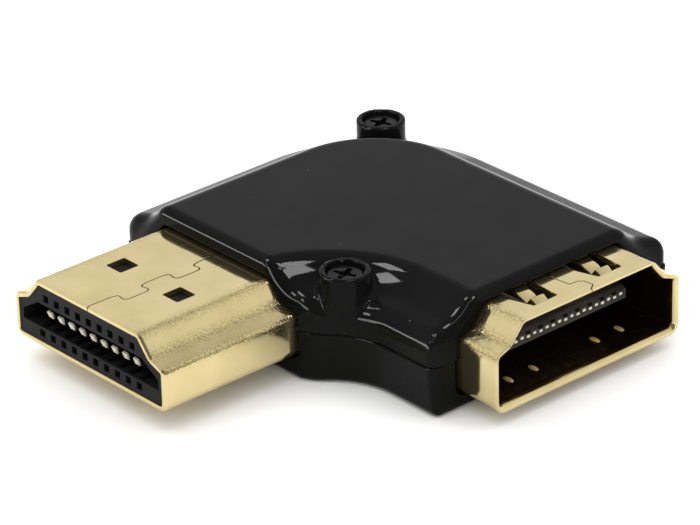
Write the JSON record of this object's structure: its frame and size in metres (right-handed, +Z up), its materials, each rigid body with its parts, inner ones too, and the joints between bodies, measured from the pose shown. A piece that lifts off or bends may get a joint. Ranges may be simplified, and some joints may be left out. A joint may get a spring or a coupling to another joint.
{
  "type": "right-angle hdmi adapter",
  "caption": "Flat right-angle video adapter: black die-cast L-shaped housing with a screwed-on top, gold-plated plug on one leg and matching receptacle on the other.",
  "frame": {"origin": "on the flat underside, under the point where the centre lines of the plug and of the receptacle cross", "axes": "+Z up out of the flat top; -Y along the plug, towards its tip; +X along the receptacle, out of its mouth"},
  "size_m": [0.0286, 0.0313, 0.007],
  "materials": {
    "black_casting": "smooth black lacquer over zinc casting",
    "black_screw": "black oxide",
    "gold_shell": "gold plated sheet",
    "gold_contact": "gold plated",
    "black_insulator": "moulded",
    "tongue_insulator": "moulded",
    "board": "solder mask"
  },
  "bodies": {
    "root": {"lower_shell": "black_casting", "upper_shell": "black_casting", "inner_screw": "black_screw", "outer_screw": "black_screw", "circuit_board": "board", "plug_shell": "gold_shell", "plug_insulator": "black_insulator", "plug_spacer": "black_insulator", "receptacle_shell": "gold_shell", "receptacle_insulator": "tongue_insulator", "plug_contact_1": "gold_contact", "plug_contact_2": "gold_contact", "plug_contact_3": "gold_contact", "plug_contact_4": "gold_contact", "plug_contact_5": "gold_contact", "plug_contact_6": "gold_contact", "plug_contact_7": "gold_contact", "plug_contact_8": "gold_contact", "plug_contact_9": "gold_contact", "plug_contact_10": "gold_contact", "plug_contact_11": "gold_contact", "plug_contact_12": "gold_contact", "plug_contact_13": "gold_contact", "plug_contact_14": "gold_contact", "plug_contact_15": "gold_contact", "plug_contact_16": "gold_contact", "plug_contact_17": "gold_contact", "plug_contact_18": "gold_contact", "plug_contact_19": "gold_contact", "receptacle_contact_1": "gold_contact", "receptacle_contact_2": "gold_contact", "receptacle_contact_3": "gold_contact", "receptacle_contact_4": "gold_contact", "receptacle_contact_5": "gold_contact", "receptacle_contact_6": "gold_contact", "receptacle_contact_7": "gold_contact", "receptacle_contact_8": "gold_contact", "receptacle_contact_9": "gold_contact", "receptacle_contact_10": "gold_contact", "receptacle_contact_11": "gold_contact", "receptacle_contact_12": "gold_contact", "receptacle_contact_13": "gold_contact", "receptacle_contact_14": "gold_contact", "receptacle_contact_15": "gold_contact", "receptacle_contact_16": "gold_contact", "receptacle_contact_17": "gold_contact", "receptacle_contact_18": "gold_contact", "receptacle_contact_19": "gold_contact"}
  },
  "joints": []
}
